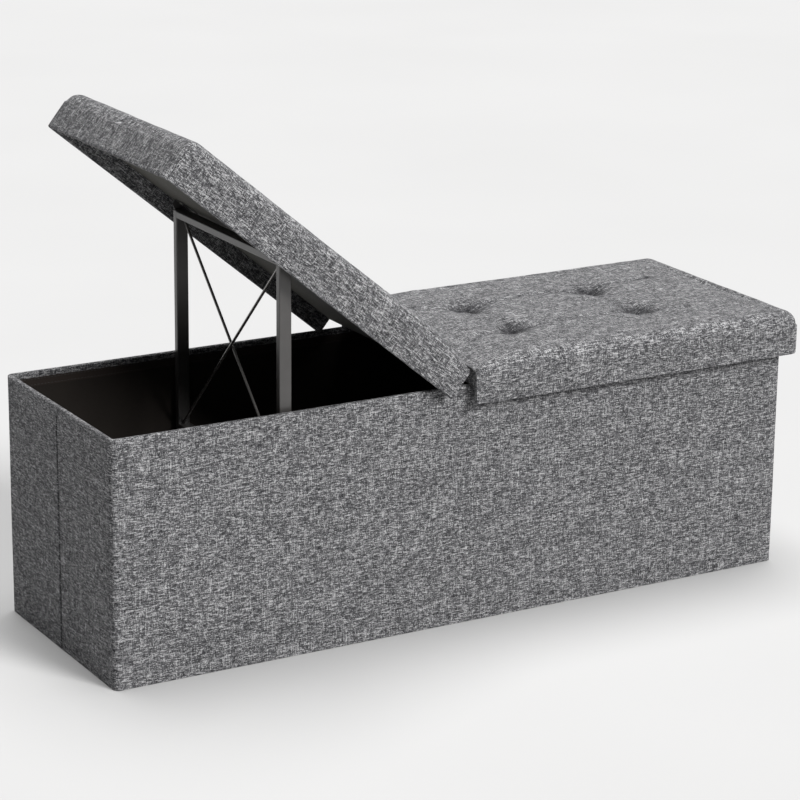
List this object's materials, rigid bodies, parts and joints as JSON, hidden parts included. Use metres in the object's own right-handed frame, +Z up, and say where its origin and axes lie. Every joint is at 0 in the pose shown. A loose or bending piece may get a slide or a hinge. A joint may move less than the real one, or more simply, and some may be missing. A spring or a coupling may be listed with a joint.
{
  "type": "storage bench",
  "caption": "Folding storage bench: a cloth-covered box with a padded, tufted lid that folds across the middle, and steel support frames hinged under it.",
  "frame": {"origin": "on the floor, under the middle of the box", "axes": "+X along the bench towards its closed half, -Y the front, +Z up"},
  "size_m": [1.081, 0.38, 0.7274],
  "materials": {
    "upholstery": "woven linen-look polyester, grey melange with pale slubs",
    "seat_cloth": "the same grey melange cloth over foam",
    "lining": "black-brown non-woven",
    "binding": "dark brown woven tape, stitched",
    "base_cloth": "fibreboard wrapped in black non-woven",
    "lining_board": "fibreboard wrapped in black non-woven",
    "fibreboard": "raw brown fibreboard",
    "seat_fibreboard": "raw brown fibreboard, sawn edges",
    "thread": "bonded grey thread with a board disc",
    "frame_steel": "dark grey powder coat, satin",
    "bracket_steel": "black powder coat, satin",
    "zinc_steel": "zinc plated",
    "foot_plastic": "moulded black plastic"
  },
  "bodies": {
    "box": {"base_panel": "base_cloth", "front_board": "fibreboard", "rear_board": "fibreboard", "left_end_board_front": "fibreboard", "left_end_board_rear": "fibreboard", "right_end_board_front": "fibreboard", "right_end_board_rear": "fibreboard", "body_cover": "upholstery", "body_lining": "lining", "lining_binding": "binding", "floor_board": "lining_board"},
    "lid_fold": {"fold_piping": "upholstery"},
    "lid_left": {"left_seat_board": "seat_fibreboard", "left_front_skirt_board": "fibreboard", "left_rear_skirt_board": "fibreboard", "left_end_skirt_board": "fibreboard", "left_skirt_cover": "upholstery", "left_lid_lining": "lining", "left_seat_pad": "seat_cloth", "left_tuft_ties": "thread", "left_frame_brackets": "bracket_steel", "left_frame_pins": "zinc_steel", "left_bracket_screws": "zinc_steel"},
    "frame_left": {"left_frame_top_bar": "frame_steel", "left_frame_bottom_bar": "frame_steel", "left_frame_front_upright": "frame_steel", "left_frame_rear_upright": "frame_steel", "left_frame_rod_a": "frame_steel", "left_frame_rod_b": "frame_steel", "left_frame_feet": "foot_plastic"},
    "lid_right": {"right_seat_board": "seat_fibreboard", "right_front_skirt_board": "fibreboard", "right_rear_skirt_board": "fibreboard", "right_end_skirt_board": "fibreboard", "right_skirt_cover": "upholstery", "right_lid_lining": "lining", "right_seat_pad": "seat_cloth", "right_tuft_ties": "thread", "right_frame_brackets": "bracket_steel", "right_frame_pins": "zinc_steel", "right_bracket_screws": "zinc_steel"},
    "frame_right": {"right_frame_top_bar": "frame_steel", "right_frame_bottom_bar": "frame_steel", "right_frame_front_upright": "frame_steel", "right_frame_rear_upright": "frame_steel", "right_frame_rod_a": "frame_steel", "right_frame_rod_b": "frame_steel", "right_frame_feet": "foot_plastic"}
  },
  "joints": [
    {"name": "lid_lift", "type": "slide", "parent": "box", "child": "lid_fold", "axis": [0, 0, 1], "range_m": [0, 0.35]},
    {"name": "left_lid_hinge", "type": "hinge", "parent": "lid_fold", "child": "lid_left", "pos_m": [0, 0, 0.371], "axis": [0, 1, 0], "range_deg": [-39.5, 120.5]},
    {"name": "right_lid_hinge", "type": "hinge", "parent": "lid_fold", "child": "lid_right", "pos_m": [0, 0, 0.371], "axis": [0, 1, 0], "range_deg": [-120.5, 0]},
    {"name": "left_frame_hinge", "type": "hinge", "parent": "lid_left", "child": "frame_left", "pos_m": [-0.27218, 0, 0.54547], "axis": [0, 1, 0], "range_deg": [-50.5, 39.5]},
    {"name": "right_frame_hinge", "type": "hinge", "parent": "lid_right", "child": "frame_right", "pos_m": [0.321, 0, 0.3325], "axis": [0, 1, 0], "range_deg": [0, 90]}
  ]
}
